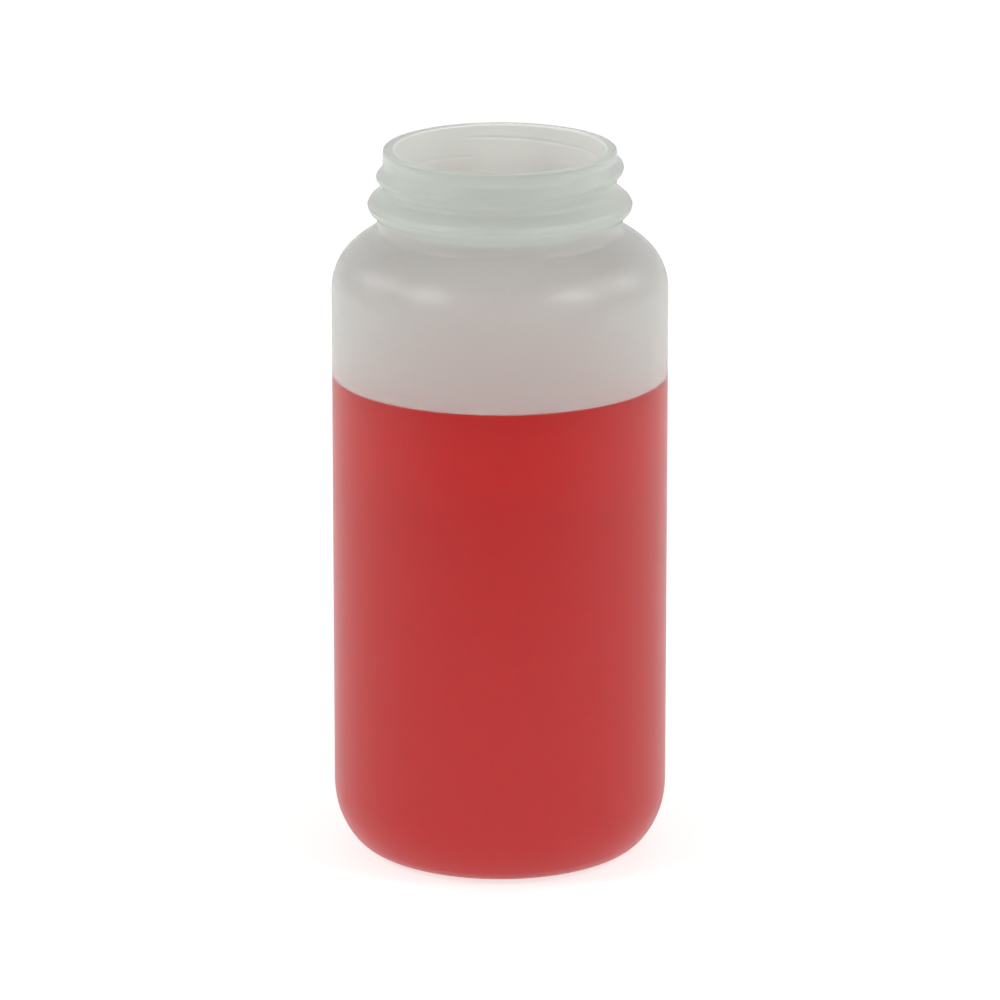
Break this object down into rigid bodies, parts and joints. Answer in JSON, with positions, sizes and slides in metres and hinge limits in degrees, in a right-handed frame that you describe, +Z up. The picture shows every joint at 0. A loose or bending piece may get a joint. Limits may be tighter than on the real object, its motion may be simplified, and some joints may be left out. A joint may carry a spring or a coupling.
{
  "type": "wide-mouth jar",
  "caption": "Round blow-moulded laboratory jar with a domed shoulder, a bead ring and a coarse-threaded wide mouth, open and two thirds full of red liquid.",
  "frame": {"origin": "middle of the base, on the surface that the jar stands on", "axes": "+Z up along the jar's axis and out of the mouth; -Y faces the viewer"},
  "size_m": [0.0724, 0.0724, 0.156],
  "materials": {
    "jar_wall": "natural polyethylene, translucent, satin",
    "liquid": "clear deep red liquid"
  },
  "bodies": {
    "root": {"jar": "jar_wall", "liquid": "liquid"}
  },
  "joints": []
}
